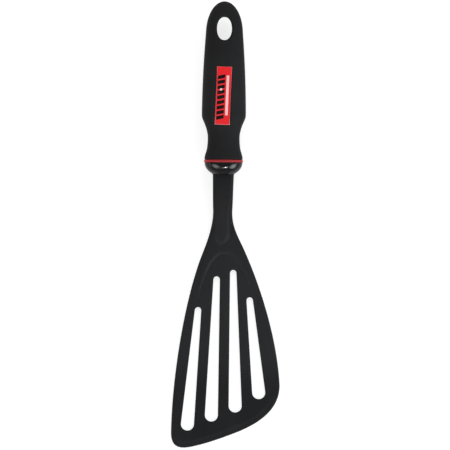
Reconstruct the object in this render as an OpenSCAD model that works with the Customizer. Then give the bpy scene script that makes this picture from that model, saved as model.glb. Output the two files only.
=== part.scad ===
// Slotted turner, lying face up on a flat surface.
// +Z is up, +Y runs from the blade tip to the end of the grip, +X is to the right seen from above.
// The origin is the centre of the footprint, on the surface that the blade rests on. Millimetres.

/* [Head] */
// Length of the one-piece head, from the front of the bolster to the blade tip
head_l = 190; // [175:5:205]
// Width of the blade across its widest part
head_w = 75.3; // [70:0.1:80]
// Blade thickness at the neck
plate_root_t = 2.6; // [2.4:0.1:3]
// Blade thickness at the front edge
plate_tip_t = 1.5; // [1.2:0.1:2]
// Thickness of the stiffened neck and of its rims
neck_t = 3.5; // [3.2:0.1:4.4]

/* [Slots] */
// Radius of each slot's narrow end
slot_neck_r = 2.2; // [2:0.1:2.6]
// Radius of each slot's wide end
slot_tip_r = 4.5; // [3.5:0.1:4.7]

/* [Shank] */
// Width of the shank where it enters the bolster
shank_w = 14.8; // [14:0.2:15.6]
// Height of the shank where it enters the bolster
shank_h = 8; // [7:0.5:9]

/* [Handle] */
// Length of the handle, from the front of the bolster to the end of the grip
handle_l = 120; // [112:1:128]
// Width of the grip across the palm swell
grip_w = 30.5; // [29:0.5:32]
// Height of the grip across the palm swell
grip_h = 22; // [21:0.5:23]
// Wall thickness of the soft sleeve
sleeve_t = 2.4; // [2.2:0.1:2.6]
// Length of the glossy bolster
bolster_l = 8.3; // [8:0.1:9]
// Thickness of the coloured ring
ring_t = 1.7; // [1.5:0.1:1.9]
// How far the ring stands out past the grip
ring_proud = 0.4; // [0.2:0.1:0.6]

/* [Hang hole] */
// Width of the hang hole
hole_w = 10.3; // [9:0.1:11]
// Length of the hang hole
hole_l = 16.5; // [14:0.5:17]

/* [Badge] */
// Length of the badge
badge_l = 40.2; // [38:0.2:41]
// Width of the badge
badge_w = 10.3; // [9.7:0.1:11]
// Lean of the badge to the right, in degrees
badge_lean = 2; // [0:0.5:3]
// Number of slanted bars on the badge
bar_count = 9; // [5:1:9]

/* [Hidden] */

$fn = 48;
ring_sides = 36;
arc_steps = 12;
curve_steps = 10;
side_power = 2.4;
margin = 1;

// Places along the length. Distances t run from the front of the bolster to the grip's end,
// and distances v run from the front of the bolster to the blade tip.
bolster_y = (head_l - handle_l) / 2;
grip_t0 = bolster_l + ring_t;
cap_l = handle_l / 6;
cap_t0 = handle_l - cap_l;
handle_z = grip_h / 2;

// Curves of the head's outline, each as two ends and two pull points, [x, v].
// They run down the left side from the shank, round the slanted front and up the right side.
left_flare = [[-7, 27], [-6.5, 36], [-11.5, 48], [-13.8, 53.8]];
left_side = [[-13.8, 53.8], [-24.9, 81.4], [-34.4, 134.5], [-35.2, 178.2]];
tip_corner = [[-35.2, 178.2], [-35.4, 186], [-33.5, 192], [-21.4, 189.5]];
front_edge = [[-21.4, 189.5], [-9.2, 186.9], [0.2, 183.1], [9.2, 179.7]];
right_corner = [[9.2, 179.7], [25.6, 173.2], [40.7, 163.3], [40.1, 145.6]];
right_side = [[40.1, 145.6], [38.2, 115.6], [28.05, 81.6], [15.2, 53]];
right_flare = [[15.2, 53], [10.9, 43.4], [6, 36.5], [6.4, 27]];
head_curves = [left_flare, left_side, tip_corner, front_edge, right_corner, right_side, right_flare];

// The outline is drawn at its base size, then scaled to the head's length and width.
outline_xs = [for (c = head_curves) each [for (p = curve(c)) p[0]]];
outline_vs = [for (c = head_curves) each [for (p = curve(c)) p[1]]];
base_head_l = max(outline_vs);
base_head_w = max(outline_xs) - min(outline_xs);
head_scale_x = head_w / base_head_w;
head_scale_y = head_l / base_head_l;
// The blade reaches further to the right of the handle's axis than to the left.
axis_x = -(max(outline_xs) + min(outline_xs)) / 2 * head_scale_x;

// The thin field of the blade starts at an arch across the neck, with a rim left along each side.
arch_left = [[-24, 108], [-14.5, 68], [-8.6, 53.8], [1.2, 53.8]];
arch_right = [[1.2, 53.8], [10.8, 53.8], [17.5, 68], [31, 108]];
arch_curves = [arch_left, arch_right];
rim_v0 = 56;
rim_v1 = 96;

// Centres of each slot's narrow and wide ends, [x, v].
slot_ends = [
    [[-17, 94.5], [-23.8, 173.6]],
    [[-4.2, 73], [-7.2, 167.2]],
    [[7.3, 68.5], [9.3, 160.8]],
    [[18.9, 87.4], [25.6, 151.4]]
];

// Shank sections: v, middle of the width, half width, underside and top.
shank_in = 2;
shank_hw = shank_w / 2;
shank_low = handle_z - shank_h / 2;
shank_top = handle_z + shank_h / 2;
shank_rows = [
    [-shank_in, 0, shank_hw, shank_low, shank_top],
    [0, 0, shank_hw, shank_low, shank_top],
    [8, 0, shank_hw * 0.97, shank_low - 0.7, shank_top - 0.9],
    [16, -0.2, shank_hw * 0.94, shank_low - 2, shank_top - 2.8],
    [24, -0.3, shank_hw * 0.9, shank_low - 3.7, shank_top - 5.2],
    [32, -0.4, shank_hw * 0.86, shank_low - 5.4, shank_top - 7.7],
    [40, -0.6, shank_hw * 0.8, 0.45, neck_t + 1.8],
    [47.5, -1.1, shank_hw * 0.76, 0.1, neck_t + 0.7]
];
shank_stations = [-shank_in, 0, 5, 10, 15, 20, 25, 30, 34, 37, 40, 42.5, 44.5, 46, 47];
shank_power = 5;
nose_v0 = 38;
nose_l = 10;

// Tang behind the shank, and the two cross pins that hold it in the core.
tang_w = 10;
tang_h = 5.5;
tang_l = 34;
pin_r = 1.5;
pin_l = 16.8;
pin_ts = [18, 28];

// Spigot on the front of the core, which carries the ring and keys the bolster.
spigot_hw = 9.2;
spigot_hh = 6.8;
spigot_t0 = bolster_l / 2;

// Grip sections at the base size below: t, half width, half height.
grip_rows = [
    [10, 13.2, 10.3],
    [13, 13, 10.2],
    [18, 11.6, 9.8],
    [24, 11.05, 9.6],
    [29, 11.35, 9.8],
    [33, 12.3, 10.2],
    [37, 14.1, 10.7],
    [40.5, 15.2, 10.95],
    [46, 15.25, 11],
    [60, 14.95, 11],
    [75, 14.35, 10.75],
    [90, 13.4, 9.9],
    [100, 12.75, 9.1],
    [110, 12.4, 7.7],
    [120, 12.2, 6.4]
];
base_handle_l = 120;
base_grip_w = 30.5;
base_grip_h = 22;
grip_scale_t = handle_l / base_handle_l;
grip_scale_w = grip_w / base_grip_w;
grip_scale_h = grip_h / base_grip_h;
body_stations = [13, 15.5, 18, 21, 24, 27, 30, 33, 35, 37, 39, 41, 46, 55, 65, 75, 85, 93];
cap_angles = [0, 16, 30, 42, 54, 65, 74, 81, 86];

// Bolster's dome and the ring behind it.
dome_hw = 13.25 * grip_scale_w;
dome_hh = 10.35 * grip_scale_h;
dome_l = bolster_l * 1.17;
dome_lip = 0.585;
ring_hw = 13.2 * grip_scale_w + ring_proud;
ring_hh = 10.3 * grip_scale_h + ring_proud;
ring_soft = 0.3;
dome_steps = 10;

// Hang hole, with the soft sleeve lining the core's larger eye.
hole_t = 101 * grip_scale_t;
hole_lining = 1.5;
hole_power = 2.2;

// Badge, in a flat-bottomed recess in the top of the grip.
badge_t = 54.3 * grip_scale_t;
badge_x = -0.4;
badge_t0 = 0.15;
badge_h = 1.3;
recess_h = 2;
badge_floor = grip_h - recess_h;
print_h = 0.5;
print_sunk = 0.4;
bar_pitch = 3.5;
bar_t = 2.4;
bar_w = 5;
bar_skew = 1.2;
bar_x = -1.8;
bar_y = -1.1;
stripe_w = 1.8;
stripe_l = 27.5;
stripe_x = 2.6;
stripe_y = 0.2;
dot_r = 0.85;
dot_gap = 1.5;

// A point of the cubic curve with ends c[0] and c[3].
function bezier(c, q) =
    pow(1 - q, 3) * c[0] + 3 * pow(1 - q, 2) * q * c[1] + 3 * (1 - q) * q * q * c[2] + q * q * q * c[3];

// A curve's points without its last one, which starts the next curve.
function curve(c) = [for (i = [0 : curve_steps - 1]) bezier(c, i / curve_steps)];

// From the outline's [x, v] to the row's [x, y].
function head_xy(p) = [axis_x + p[0] * head_scale_x, bolster_y - p[1] * head_scale_y];

// Signed power that turns a circle's sine or cosine into a rounded square's.
function rounded(c, n) = sign(c) * pow(abs(c), 2 / n);

// One cross-section, with half width w and half height h, facing along Y.
function section(x, y, z, w, h, n) = [
    for (i = [0 : ring_sides - 1])
        let (a = 360 * i / ring_sides)
        [x + w * rounded(cos(a), n), y, z + h * rounded(sin(a), n)]
];

// Smooth value of column k at t, through a list of rows that start with their t.
function row_before(rows, t) = min(max(len([for (r = rows) if (r[0] <= t) 1]) - 1, 0), len(rows) - 2);
function row_slope(rows, i, k) =
    let (a = max(i - 1, 0), b = min(i + 1, len(rows) - 1))
    (rows[b][k] - rows[a][k]) / (rows[b][0] - rows[a][0]);
function smooth(rows, t, k) =
    let (
        i = row_before(rows, t),
        step = rows[i + 1][0] - rows[i][0],
        q = (t - rows[i][0]) / step,
        a = rows[i][k],
        b = rows[i + 1][k],
        da = row_slope(rows, i, k) * step,
        db = row_slope(rows, i + 1, k) * step
    )
    a + da * q + (3 * (b - a) - 2 * da - db) * q * q + (2 * (a - b) + da + db) * q * q * q;

// Grip section at base station s, drawn in by inset and shrunk by the end cap's factor.
function grip_section(s, inset, factor, t) = section(
    axis_x,
    bolster_y + t,
    handle_z,
    (smooth(grip_rows, s, 1) * grip_scale_w - inset) * factor,
    (smooth(grip_rows, s, 2) * grip_scale_h - inset) * factor,
    side_power
);

// All sections of the grip or of its core: the front, the body, then the rounded end. The front
// is carried forward by lead, for a cut that has to break through it.
function grip_sections(inset, lead) = concat(
    [grip_section(grip_rows[0][0], inset, 1, grip_t0 - lead)],
    [for (s = body_stations) grip_section(s, inset, 1, s * grip_scale_t)],
    [
        for (a = cap_angles)
            let (t = cap_t0 + (cap_l - inset) * sin(a))
            grip_section(t / grip_scale_t, inset, cos(a), t)
    ]
);

// Half width of the shank at v, closing to a rounded nose on the neck.
function nose(v) = v <= nose_v0 ? 1 : sqrt(max(1 - pow((v - nose_v0) / nose_l, 2), 0));

function shank_section(v) = section(
    axis_x + smooth(shank_rows, v, 1),
    bolster_y - v,
    (smooth(shank_rows, v, 3) + smooth(shank_rows, v, 4)) / 2,
    smooth(shank_rows, v, 2) * nose(v),
    (smooth(shank_rows, v, 4) - smooth(shank_rows, v, 3)) / 2,
    shank_power
);

// Outline of a slot with a round end of radius r1 at p1 and one of r2 at p2.
function slot_outline(p1, r1, p2, r2) =
    let (
        along = atan2(p2[1] - p1[1], p2[0] - p1[0]),
        side = 90 + asin((r2 - r1) / norm(p2 - p1)),
        back = 360 - 2 * side
    )
    concat(
        [for (i = [0 : arc_steps]) p1 + r1 * turned(along + side + back * i / arc_steps)],
        [for (i = [0 : arc_steps]) p2 + r2 * turned(along - side + 2 * side * i / arc_steps)]
    );
function turned(a) = [cos(a), sin(a)];

// A closed solid through cross-sections that run towards -Y.
module loft(sections) {
    n = ring_sides;
    last = len(sections) - 1;
    polyhedron(
        points = [for (s = sections) each s],
        faces = concat(
            [[for (i = [0 : n - 1]) i]],
            [
                for (k = [0 : last - 1])
                    for (i = [0 : n - 1])
                        [k * n + i, (k + 1) * n + i, k * n + (i + 1) % n]
            ],
            [
                for (k = [0 : last - 1])
                    for (i = [0 : n - 1])
                        [(k + 1) * n + i, (k + 1) * n + (i + 1) % n, k * n + (i + 1) % n]
            ],
            [[for (i = [0 : n - 1]) last * n + n - 1 - i]]
        )
    );
}

// The grip's sections run towards +Y, so they are turned round first.
module grip_body(inset, lead) {
    s = grip_sections(inset, lead);
    loft([for (i = [len(s) - 1 : -1 : 0]) s[i]]);
}

// A side view, [v, z], extruded across the whole width of the blade.
module side_prism(points) {
    translate([-head_w, 0, 0])
        rotate([90, 0, 90])
            linear_extrude(2 * head_w)
                polygon([for (p = points) [bolster_y - p[0] * head_scale_y, p[1]]]);
}

// Height of the blade's top face at v.
function plate_top(v) = plate_root_t + (plate_tip_t - plate_root_t) * (v - rim_v0) / (base_head_l - rim_v0);

// Points of joined curves, closed across their open ends.
function outline(curves) = concat(
    [for (c = curves) each [for (p = curve(c)) head_xy(p)]],
    [head_xy(curves[len(curves) - 1][3])]
);

module head_blank() {
    root_v = 45;
    ramp_v = 27;
    ramp_t = 0.4;
    intersection() {
        translate([0, 0, -margin])
            linear_extrude(2 * neck_t)
                polygon(outline(head_curves));
        side_prism([
            [ramp_v, neck_t],
            [rim_v0, neck_t],
            [rim_v1, plate_top(rim_v1)],
            [base_head_l + margin, plate_top(base_head_l + margin)],
            [base_head_l + margin, 0],
            [root_v, 0],
            [ramp_v, neck_t - ramp_t]
        ]);
    }
}

// The cut that leaves the thin field inside the arch. It runs a little past both ends of the rims.
module arch_field() {
    over = 10;
    intersection() {
        linear_extrude(2 * neck_t)
            polygon(outline(arch_curves));
        side_prism([
            [rim_v0 - over, plate_top(rim_v0 - over)],
            [rim_v1 + over, plate_top(rim_v1 + over)],
            [rim_v1 + over, 3 * neck_t],
            [rim_v0 - over, 3 * neck_t]
        ]);
    }
}

module blade_slots() {
    translate([0, 0, -margin])
        for (e = slot_ends)
            linear_extrude(3 * neck_t)
                polygon(slot_outline(head_xy(e[0]), slot_neck_r, head_xy(e[1]), slot_tip_r));
}

// Places something on the handle's axis, t behind the front of the bolster, with its Z along +Y.
module on_handle(t) {
    translate([axis_x, bolster_y + t, handle_z])
        rotate([-90, 0, 0])
            children();
}

module tang_block(t0, t1) {
    on_handle(t0)
        translate([-tang_w / 2, -tang_h / 2, 0])
            cube([tang_w, tang_h, t1 - t0]);
}

module cross_pins() {
    for (t = pin_ts)
        translate([axis_x - pin_l / 2, bolster_y + t, handle_z])
            rotate([0, 90, 0])
                cylinder(r = pin_r, h = pin_l);
}

// Rounded oval with half sizes w and h. The higher the power n, the squarer it is.
function oval(w, h, n) = [
    for (i = [0 : ring_sides - 1])
        let (a = 360 * i / ring_sides)
        [w * rounded(cos(a), n), h * rounded(sin(a), n)]
];

module spigot_block(t0, t1) {
    on_handle(t0)
        linear_extrude(t1 - t0)
            polygon(oval(spigot_hw, spigot_hh, side_power));
}

// Oval eye through the grip's end, widened all round by grow.
module hang_eye(grow) {
    translate([axis_x, bolster_y + hole_t, -margin])
        linear_extrude(grip_h + 2 * margin)
            polygon(oval(hole_w / 2 + grow, hole_l / 2 + grow, hole_power));
}

// Places something on the badge, z above the floor of its recess.
module on_badge(z) {
    translate([axis_x + badge_x, bolster_y + badge_t, badge_floor + z])
        rotate([0, 0, -badge_lean])
            children();
}

module badge_block(z0, h) {
    on_badge(z0)
        translate([-badge_w / 2, -badge_l / 2, 0])
            cube([badge_w, badge_l, h]);
}

// The dot lies over the row of bars, which are notched round it.
module print_dot() {
    translate([bar_x, bar_y + dot_gap * bar_pitch, 0])
        cylinder(r = dot_r, h = print_h);
}

module print_bars() {
    on_badge(badge_t0 + badge_h - print_sunk)
        difference() {
            for (i = [0 : bar_count - 1])
                translate([bar_x, bar_y + (i - (bar_count - 1) / 2) * bar_pitch, 0])
                    linear_extrude(print_h)
                        polygon([
                            [-bar_w / 2, -bar_t / 2 - bar_skew / 2],
                            [bar_w / 2, -bar_t / 2 + bar_skew / 2],
                            [bar_w / 2, bar_t / 2 + bar_skew / 2],
                            [-bar_w / 2, bar_t / 2 - bar_skew / 2]
                        ]);
            print_dot();
        }
}

module print_stripe() {
    on_badge(badge_t0 + badge_h - print_sunk) {
        translate([stripe_x - stripe_w / 2, stripe_y - stripe_l / 2, 0])
            cube([stripe_w, stripe_l, print_h]);
        print_dot();
    }
}

// Blade, neck, shank and tang moulded as one piece.
module turner_blade() {
    color([0.15, 0.15, 0.16])
        difference() {
            union() {
                difference() {
                    head_blank();
                    arch_field();
                }
                loft([for (v = shank_stations) shank_section(v)]);
                tang_block(0, tang_l);
            }
            blade_slots();
            cross_pins();
        }
}

// Share of the bolster's full section at t: a dome with a short straight lip in front.
function dome(t) = max(sqrt(1 - pow((bolster_l - t) / dome_l, 2)), dome_lip);
function dome_section(t) =
    section(axis_x, bolster_y + t, handle_z, dome_hw * dome(t), dome_hh * dome(t), side_power);

// Glossy dome that closes the handle's front around the shank.
module bolster() {
    color([0.05, 0.05, 0.06])
        difference() {
            loft([for (i = [dome_steps : -1 : 0]) dome_section(bolster_l * pow(i / dome_steps, 2))]);
            loft([for (v = [-shank_in, 0, margin]) shank_section(v)]);
            tang_block(shank_in - margin, bolster_l);
            spigot_block(spigot_t0, bolster_l + margin);
        }
}

// Thin coloured ring between the bolster and the grip.
function ring_section(t, less) =
    section(axis_x, bolster_y + t, handle_z, ring_hw - less, ring_hh - less, side_power);

module accent_ring() {
    color([0.72, 0.16, 0.17])
        difference() {
            loft([
                ring_section(grip_t0, ring_soft),
                ring_section(grip_t0 - ring_soft, 0),
                ring_section(bolster_l + ring_soft, 0),
                ring_section(bolster_l, ring_soft)
            ]);
            spigot_block(bolster_l - margin, grip_t0 + margin);
        }
}

// Hard skeleton inside the soft sleeve, with the spigot, the tang's socket and the hanging eye.
module handle_core() {
    gap = 0.3;
    color([0.3, 0.3, 0.32])
        difference() {
            union() {
                grip_body(sleeve_t, 0);
                spigot_block(spigot_t0 + gap, grip_t0 + margin);
            }
            tang_block(0, tang_l + gap);
            for (t = pin_ts)
                translate([axis_x - grip_w / 2, bolster_y + t, handle_z])
                    rotate([0, 90, 0])
                        cylinder(r = pin_r, h = grip_w);
            hang_eye(hole_lining);
        }
}

// Soft sleeve moulded over the core, lining the hanging eye and recessed for the badge.
module grip_sleeve() {
    color([0.13, 0.13, 0.14])
        difference() {
            grip_body(0, 0);
            difference() {
                grip_body(sleeve_t, margin);
                hang_eye(hole_lining);
            }
            hang_eye(0);
            badge_block(0, grip_h);
        }
}

// Two hidden pins across the tang.
module tang_pins() {
    color([0.7, 0.7, 0.72])
        cross_pins();
}

// Adhesive film under the badge.
module badge_adhesive() {
    color([0.85, 0.83, 0.75])
        badge_block(0, badge_t0);
}

// Red badge, with shallow seats for its bars, stripe and dot.
module badge_plate() {
    color([0.9, 0.13, 0.15])
        difference() {
            badge_block(badge_t0, badge_h);
            print_bars();
            print_stripe();
        }
}

// Slanted black bars let into the badge.
module badge_bars() {
    color([0.03, 0.02, 0.02])
        print_bars();
}

// White stripe let into the badge, and a white dot in a gap between two bars.
module badge_stripe() {
    color([0.95, 0.93, 0.93])
        print_stripe();
}

turner_blade();
bolster();
accent_ring();
handle_core();
grip_sleeve();
tang_pins();
badge_adhesive();
badge_plate();
badge_bars();
badge_stripe();
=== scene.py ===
"""Slotted turner with a soft grip, lying face up on a pale floor.

Shapes are worked out in millimetres in the turner's own coordinates: x from the handle's axis, and
v from the front of the bolster towards the blade tip. t is the same distance, measured the other
way, towards the end of the grip.
"""

import math

import bpy
import numpy as np
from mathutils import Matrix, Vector, geometry


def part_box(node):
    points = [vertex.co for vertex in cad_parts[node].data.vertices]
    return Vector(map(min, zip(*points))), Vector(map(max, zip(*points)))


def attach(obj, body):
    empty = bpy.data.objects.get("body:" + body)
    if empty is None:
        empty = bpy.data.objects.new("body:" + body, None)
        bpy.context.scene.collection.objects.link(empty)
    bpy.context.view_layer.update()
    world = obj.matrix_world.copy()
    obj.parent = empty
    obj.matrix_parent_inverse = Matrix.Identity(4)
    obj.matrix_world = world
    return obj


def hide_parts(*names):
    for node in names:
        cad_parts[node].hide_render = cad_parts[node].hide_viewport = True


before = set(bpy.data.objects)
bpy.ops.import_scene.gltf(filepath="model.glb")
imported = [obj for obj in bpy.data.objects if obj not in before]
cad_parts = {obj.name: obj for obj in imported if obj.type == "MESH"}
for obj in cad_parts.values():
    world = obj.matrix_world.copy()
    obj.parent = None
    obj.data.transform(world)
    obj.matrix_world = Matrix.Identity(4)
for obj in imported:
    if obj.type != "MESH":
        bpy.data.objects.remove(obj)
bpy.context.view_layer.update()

MM = 0.001

# Places taken from the frame.
PINS_LO, PINS_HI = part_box("tang_pins")
BOLSTER_LO, BOLSTER_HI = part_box("bolster")
RING_LO, RING_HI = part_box("accent_ring")
SLEEVE_LO, SLEEVE_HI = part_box("grip_sleeve")
BLADE_LO, BLADE_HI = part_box("turner_blade")
FILM_LO, FILM_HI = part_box("badge_adhesive")
PLATE_LO, PLATE_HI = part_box("badge_plate")
BARS_LO, BARS_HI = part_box("badge_bars")
AXIS_X = (PINS_LO.x + PINS_HI.x) / 2 / MM
HANDLE_Z = (PINS_LO.z + PINS_HI.z) / 2 / MM
FRONT_Y = BOLSTER_LO.y / MM
BOLSTER_L = (BOLSTER_HI.y - BOLSTER_LO.y) / MM
RING_T = (RING_HI.y - RING_LO.y) / MM
GRIP_T0 = BOLSTER_L + RING_T
HANDLE_L = SLEEVE_HI.y / MM - FRONT_Y

# Length of the head's outline as it is drawn, before it is scaled to the frame.
DRAWN_HEAD_L = 190.03
HEAD_SCALE = (FRONT_Y - BLADE_LO.y / MM) / DRAWN_HEAD_L


# ---------------------------------------------------------------- curves and profiles

# Points used to measure a curve, and the sharpest edge in degrees that is still shaded smooth.
MEASURE_STEPS = 60
SHARP = 35


def bezier(c, q):
    """Points of the cubic curve with ends c[0] and c[3], at each parameter in q."""
    c = np.array(c, float)
    q = np.asarray(q, float)[:, None]
    p = 1 - q
    return p ** 3 * c[0] + 3 * p ** 2 * q * c[1] + 3 * p * q * q * c[2] + q ** 3 * c[3]


def path(curves, step):
    """Points along joined curves, about step apart, ends included."""
    points = []
    for c in curves:
        fine = bezier(c, np.linspace(0, 1, MEASURE_STEPS))
        length = np.linalg.norm(np.diff(fine, axis=0), axis=1).sum()
        count = max(int(math.ceil(length / step)), 2)
        points.append(bezier(c, np.arange(count) / count))
    points.append(np.array([curves[-1][3]], float))
    return np.vstack(points)


def smooth(rows, t, k):
    """Smooth value of column k at each t, through rows that start with their t."""
    rows = np.array(rows, float)
    t = np.asarray(t, float)
    s, y = rows[:, 0], rows[:, k]
    slope = np.empty(len(s))
    slope[1:-1] = (y[2:] - y[:-2]) / (s[2:] - s[:-2])
    slope[0] = (y[1] - y[0]) / (s[1] - s[0])
    slope[-1] = (y[-1] - y[-2]) / (s[-1] - s[-2])
    t = np.clip(t, s[0], s[-1])
    i = np.clip(np.searchsorted(s, t, side="right") - 1, 0, len(s) - 2)
    step = s[i + 1] - s[i]
    q = (t - s[i]) / step
    a, b = y[i], y[i + 1]
    da, db = slope[i] * step, slope[i + 1] * step
    return a + da * q + (3 * (b - a) - 2 * da - db) * q ** 2 + (2 * (a - b) + da + db) * q ** 3


def ease(a, b, x):
    """0 below a, 1 above b, smooth between."""
    q = np.clip((np.asarray(x, float) - a) / (b - a), 0, 1)
    return q * q * (3 - 2 * q)


def mix(a, b, q):
    """From a to b as q goes from 0 to 1."""
    return a + (b - a) * q


def rounded(c, n):
    """Signed power that turns a circle's sine or cosine into a rounded square's."""
    return np.sign(c) * np.abs(c) ** (2 / n)


def side_distance(points, line):
    """Distance of each point from a polyline."""
    a, b = line[:-1], line[1:]
    d = b - a
    q = np.einsum("pij,ij->pi", points[:, None, :] - a[None], d) / np.maximum((d * d).sum(1), 1e-12)
    near = a[None] + np.clip(q, 0, 1)[..., None] * d[None]
    return np.linalg.norm(points[:, None, :] - near, axis=2).min(1)


def inside(points, loop):
    """True for each point inside a closed loop."""
    x, y = points[:, 0][:, None], points[:, 1][:, None]
    x1, y1 = loop[:, 0][None], loop[:, 1][None]
    x2, y2 = np.roll(loop[:, 0], -1)[None], np.roll(loop[:, 1], -1)[None]
    rises = (y1 > y) != (y2 > y)
    with np.errstate(divide="ignore", invalid="ignore"):
        cross = x < (x2 - x1) * (y - y1) / (y2 - y1) + x1
    return (rises & cross).sum(1) % 2 == 1


def close(loop):
    """A loop with its first point again at its end."""
    return np.vstack([loop, loop[:1]])


def signed_distance(points, line):
    """Distance from an open curve, positive inside the loop that it makes when closed."""
    return side_distance(points, line) * np.where(inside(points, line), 1, -1)


# ---------------------------------------------------------------- meshes

def to_frame(points):
    """From [x, -v, z] in millimetres to the frame in metres."""
    p = np.asarray(points, float) + np.array([AXIS_X, FRONT_Y, 0])
    return p * MM


def add(name, data):
    """A new object in the scene."""
    obj = bpy.data.objects.new(name, data)
    bpy.context.scene.collection.objects.link(obj)
    return obj


def shade(mesh, sharp):
    """Smooth shading, except over edges sharper than that many degrees."""
    mesh.shade_smooth()
    mesh.set_sharp_from_angle(angle=math.radians(sharp))


def make(name, points, faces, material, sharp=SHARP):
    """A piece from points in millimetres."""
    mesh = bpy.data.meshes.new(name)
    corners = [tuple(p) for p in to_frame(points)]
    mesh.from_pydata(corners, [], [tuple(int(i) for i in f) for f in faces])
    mesh.validate()
    shade(mesh, sharp)
    if material:
        mesh.materials.append(material)
    return add(name, mesh)


def join(name, parts):
    """Several meshes as one piece."""
    points, faces = [], []
    for part in parts:
        start = len(points)
        points += [tuple(v.co) for v in part.data.vertices]
        faces += [tuple(start + i for i in f.vertices) for f in part.data.polygons]
    material = parts[0].data.materials[0]
    for part in parts:
        bpy.data.objects.remove(part)
    mesh = bpy.data.meshes.new(name)
    mesh.from_pydata(points, [], faces)
    shade(mesh, SHARP)
    mesh.materials.append(material)
    return add(name, mesh)


def flat_ring(loop, z):
    """A ring of [x, y, z] from a loop of [x, y]."""
    return np.column_stack([loop, np.full(len(loop), z)])


def skin(rings, closed=False):
    """Points and faces of a solid through equal rings, either capped or closed into a loop."""
    n, count = len(rings[0]), len(rings)
    points = np.vstack(rings)
    faces = []
    for k in range(count if closed else count - 1):
        a, b = k * n, (k + 1) % count * n
        for i in range(n):
            j = (i + 1) % n
            faces.append((a + i, a + j, b + j, b + i))
    if not closed:
        faces.append(tuple(range(n))[::-1])
        faces.append(tuple((count - 1) * n + i for i in range(n)))
    return points, faces


def cut(obj, tools, sharp=SHARP, keep_tools=False):
    """Takes the tools out of obj, for good. A sharp angle of 0 leaves every face flat."""
    for tool in tools:
        m = obj.modifiers.new("cut", "BOOLEAN")
        m.operation = "DIFFERENCE"
        m.solver = "EXACT"
        m.object = tool
    bpy.context.view_layer.update()
    result = obj.evaluated_get(bpy.context.evaluated_depsgraph_get())
    done = bpy.data.meshes.new_from_object(result)
    old = obj.data
    obj.modifiers.clear()
    obj.data = done
    bpy.data.meshes.remove(old)
    if sharp:
        shade(done, sharp)
    else:
        done.shade_flat()
    if not keep_tools:
        for tool in tools:
            mesh = tool.data
            bpy.data.objects.remove(tool)
            bpy.data.meshes.remove(mesh)
    return obj


def declare(obj, node):
    """Says which body a piece rides on and which CAD node it replaces."""
    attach(obj, "root")
    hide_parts(node)
    return obj


# ---------------------------------------------------------------- small outlines

def box(w, h, x=0, y=0, slant=0):
    """Corners of a box that reaches w and h to each side of x, y. Its right side stands higher."""
    return [[x - w, y - h - slant], [x + w, y - h + slant], [x + w, y + h + slant], [x - w, y + h - slant]]


def rounded_polygon(corners, r, steps):
    """A convex counter-clockwise polygon with each corner rounded."""
    corners = np.array(corners, float)
    out = []
    for i, c in enumerate(corners):
        before = corners[i - 1] - c
        after = corners[(i + 1) % len(corners)] - c
        before, after = before / np.linalg.norm(before), after / np.linalg.norm(after)
        half = math.acos(np.clip(before @ after, -1, 1)) / 2
        middle = (before + after) / np.linalg.norm(before + after)
        centre = c + middle * r / math.sin(half)
        a0 = math.atan2(*(c + before * r / math.tan(half) - centre)[::-1])
        a1 = math.atan2(*(c + after * r / math.tan(half) - centre)[::-1])
        sweep = (a1 - a0 + math.pi) % (2 * math.pi) - math.pi
        for k in range(steps + 1):
            a = a0 + sweep * k / steps
            out.append(centre + r * np.array([math.cos(a), math.sin(a)]))
    return np.array(out)


def inset(loop, d):
    """A convex counter-clockwise loop drawn in by d."""
    if d == 0:
        return loop.copy()
    e = np.roll(loop, -1, 0) - loop
    n = np.stack([-e[:, 1], e[:, 0]], 1)
    n = n / np.maximum(np.linalg.norm(n, axis=1)[:, None], 1e-9)
    m = n + np.roll(n, 1, 0)
    m = m / (m * m).sum(1)[:, None] * 2
    return loop + m * d


def prism(name, loop, z0, z1, bevel, material, steps=4):
    """A flat solid on a convex loop, with its top edge rounded by bevel."""
    rings = [flat_ring(loop, z0)]
    if bevel:
        for a in [math.pi / 2 * k / steps for k in range(steps + 1)]:
            drawn_in = inset(loop, bevel * (1 - math.cos(a)))
            rings.append(flat_ring(drawn_in, z1 - bevel + bevel * math.sin(a)))
    else:
        rings.append(flat_ring(loop, z1))
    return make(name, *skin(rings), material)


# ---------------------------------------------------------------- materials

def new_material(name):
    """A new material, with its node tree and its shader."""
    m = bpy.data.materials.new(name)
    m.use_nodes = True
    tree = m.node_tree
    return m, tree, tree.nodes["Principled BSDF"]


def noise(tree, scale, detail=3.0, stretch=(1, 1, 1)):
    """Noise over the object's own coordinates, in metres."""
    coord = tree.nodes.new("ShaderNodeTexCoord")
    mapping = tree.nodes.new("ShaderNodeMapping")
    mapping.inputs["Scale"].default_value = stretch
    n = tree.nodes.new("ShaderNodeTexNoise")
    n.inputs["Scale"].default_value = scale
    n.inputs["Detail"].default_value = detail
    n.inputs["Roughness"].default_value = 0.55
    tree.links.new(coord.outputs["Object"], mapping.inputs["Vector"])
    tree.links.new(mapping.outputs["Vector"], n.inputs["Vector"])
    return n.outputs["Fac"]


def remap(tree, value, low, high, start=0.3, end=0.7):
    """Spreads a noise value over low to high."""
    r = tree.nodes.new("ShaderNodeMapRange")
    r.inputs["From Min"].default_value = start
    r.inputs["From Max"].default_value = end
    r.inputs["To Min"].default_value = low
    r.inputs["To Max"].default_value = high
    tree.links.new(value, r.inputs["Value"])
    return r.outputs["Result"]


def tint(tree, value, dark, light, start=0.3, end=0.7):
    """Colour between dark and light, by a noise value."""
    ramp = tree.nodes.new("ShaderNodeValToRGB")
    ramp.color_ramp.elements[0].position = start
    ramp.color_ramp.elements[0].color = (*dark, 1)
    ramp.color_ramp.elements[1].position = end
    ramp.color_ramp.elements[1].color = (*light, 1)
    tree.links.new(value, ramp.inputs["Fac"])
    return ramp.outputs["Color"]


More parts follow.
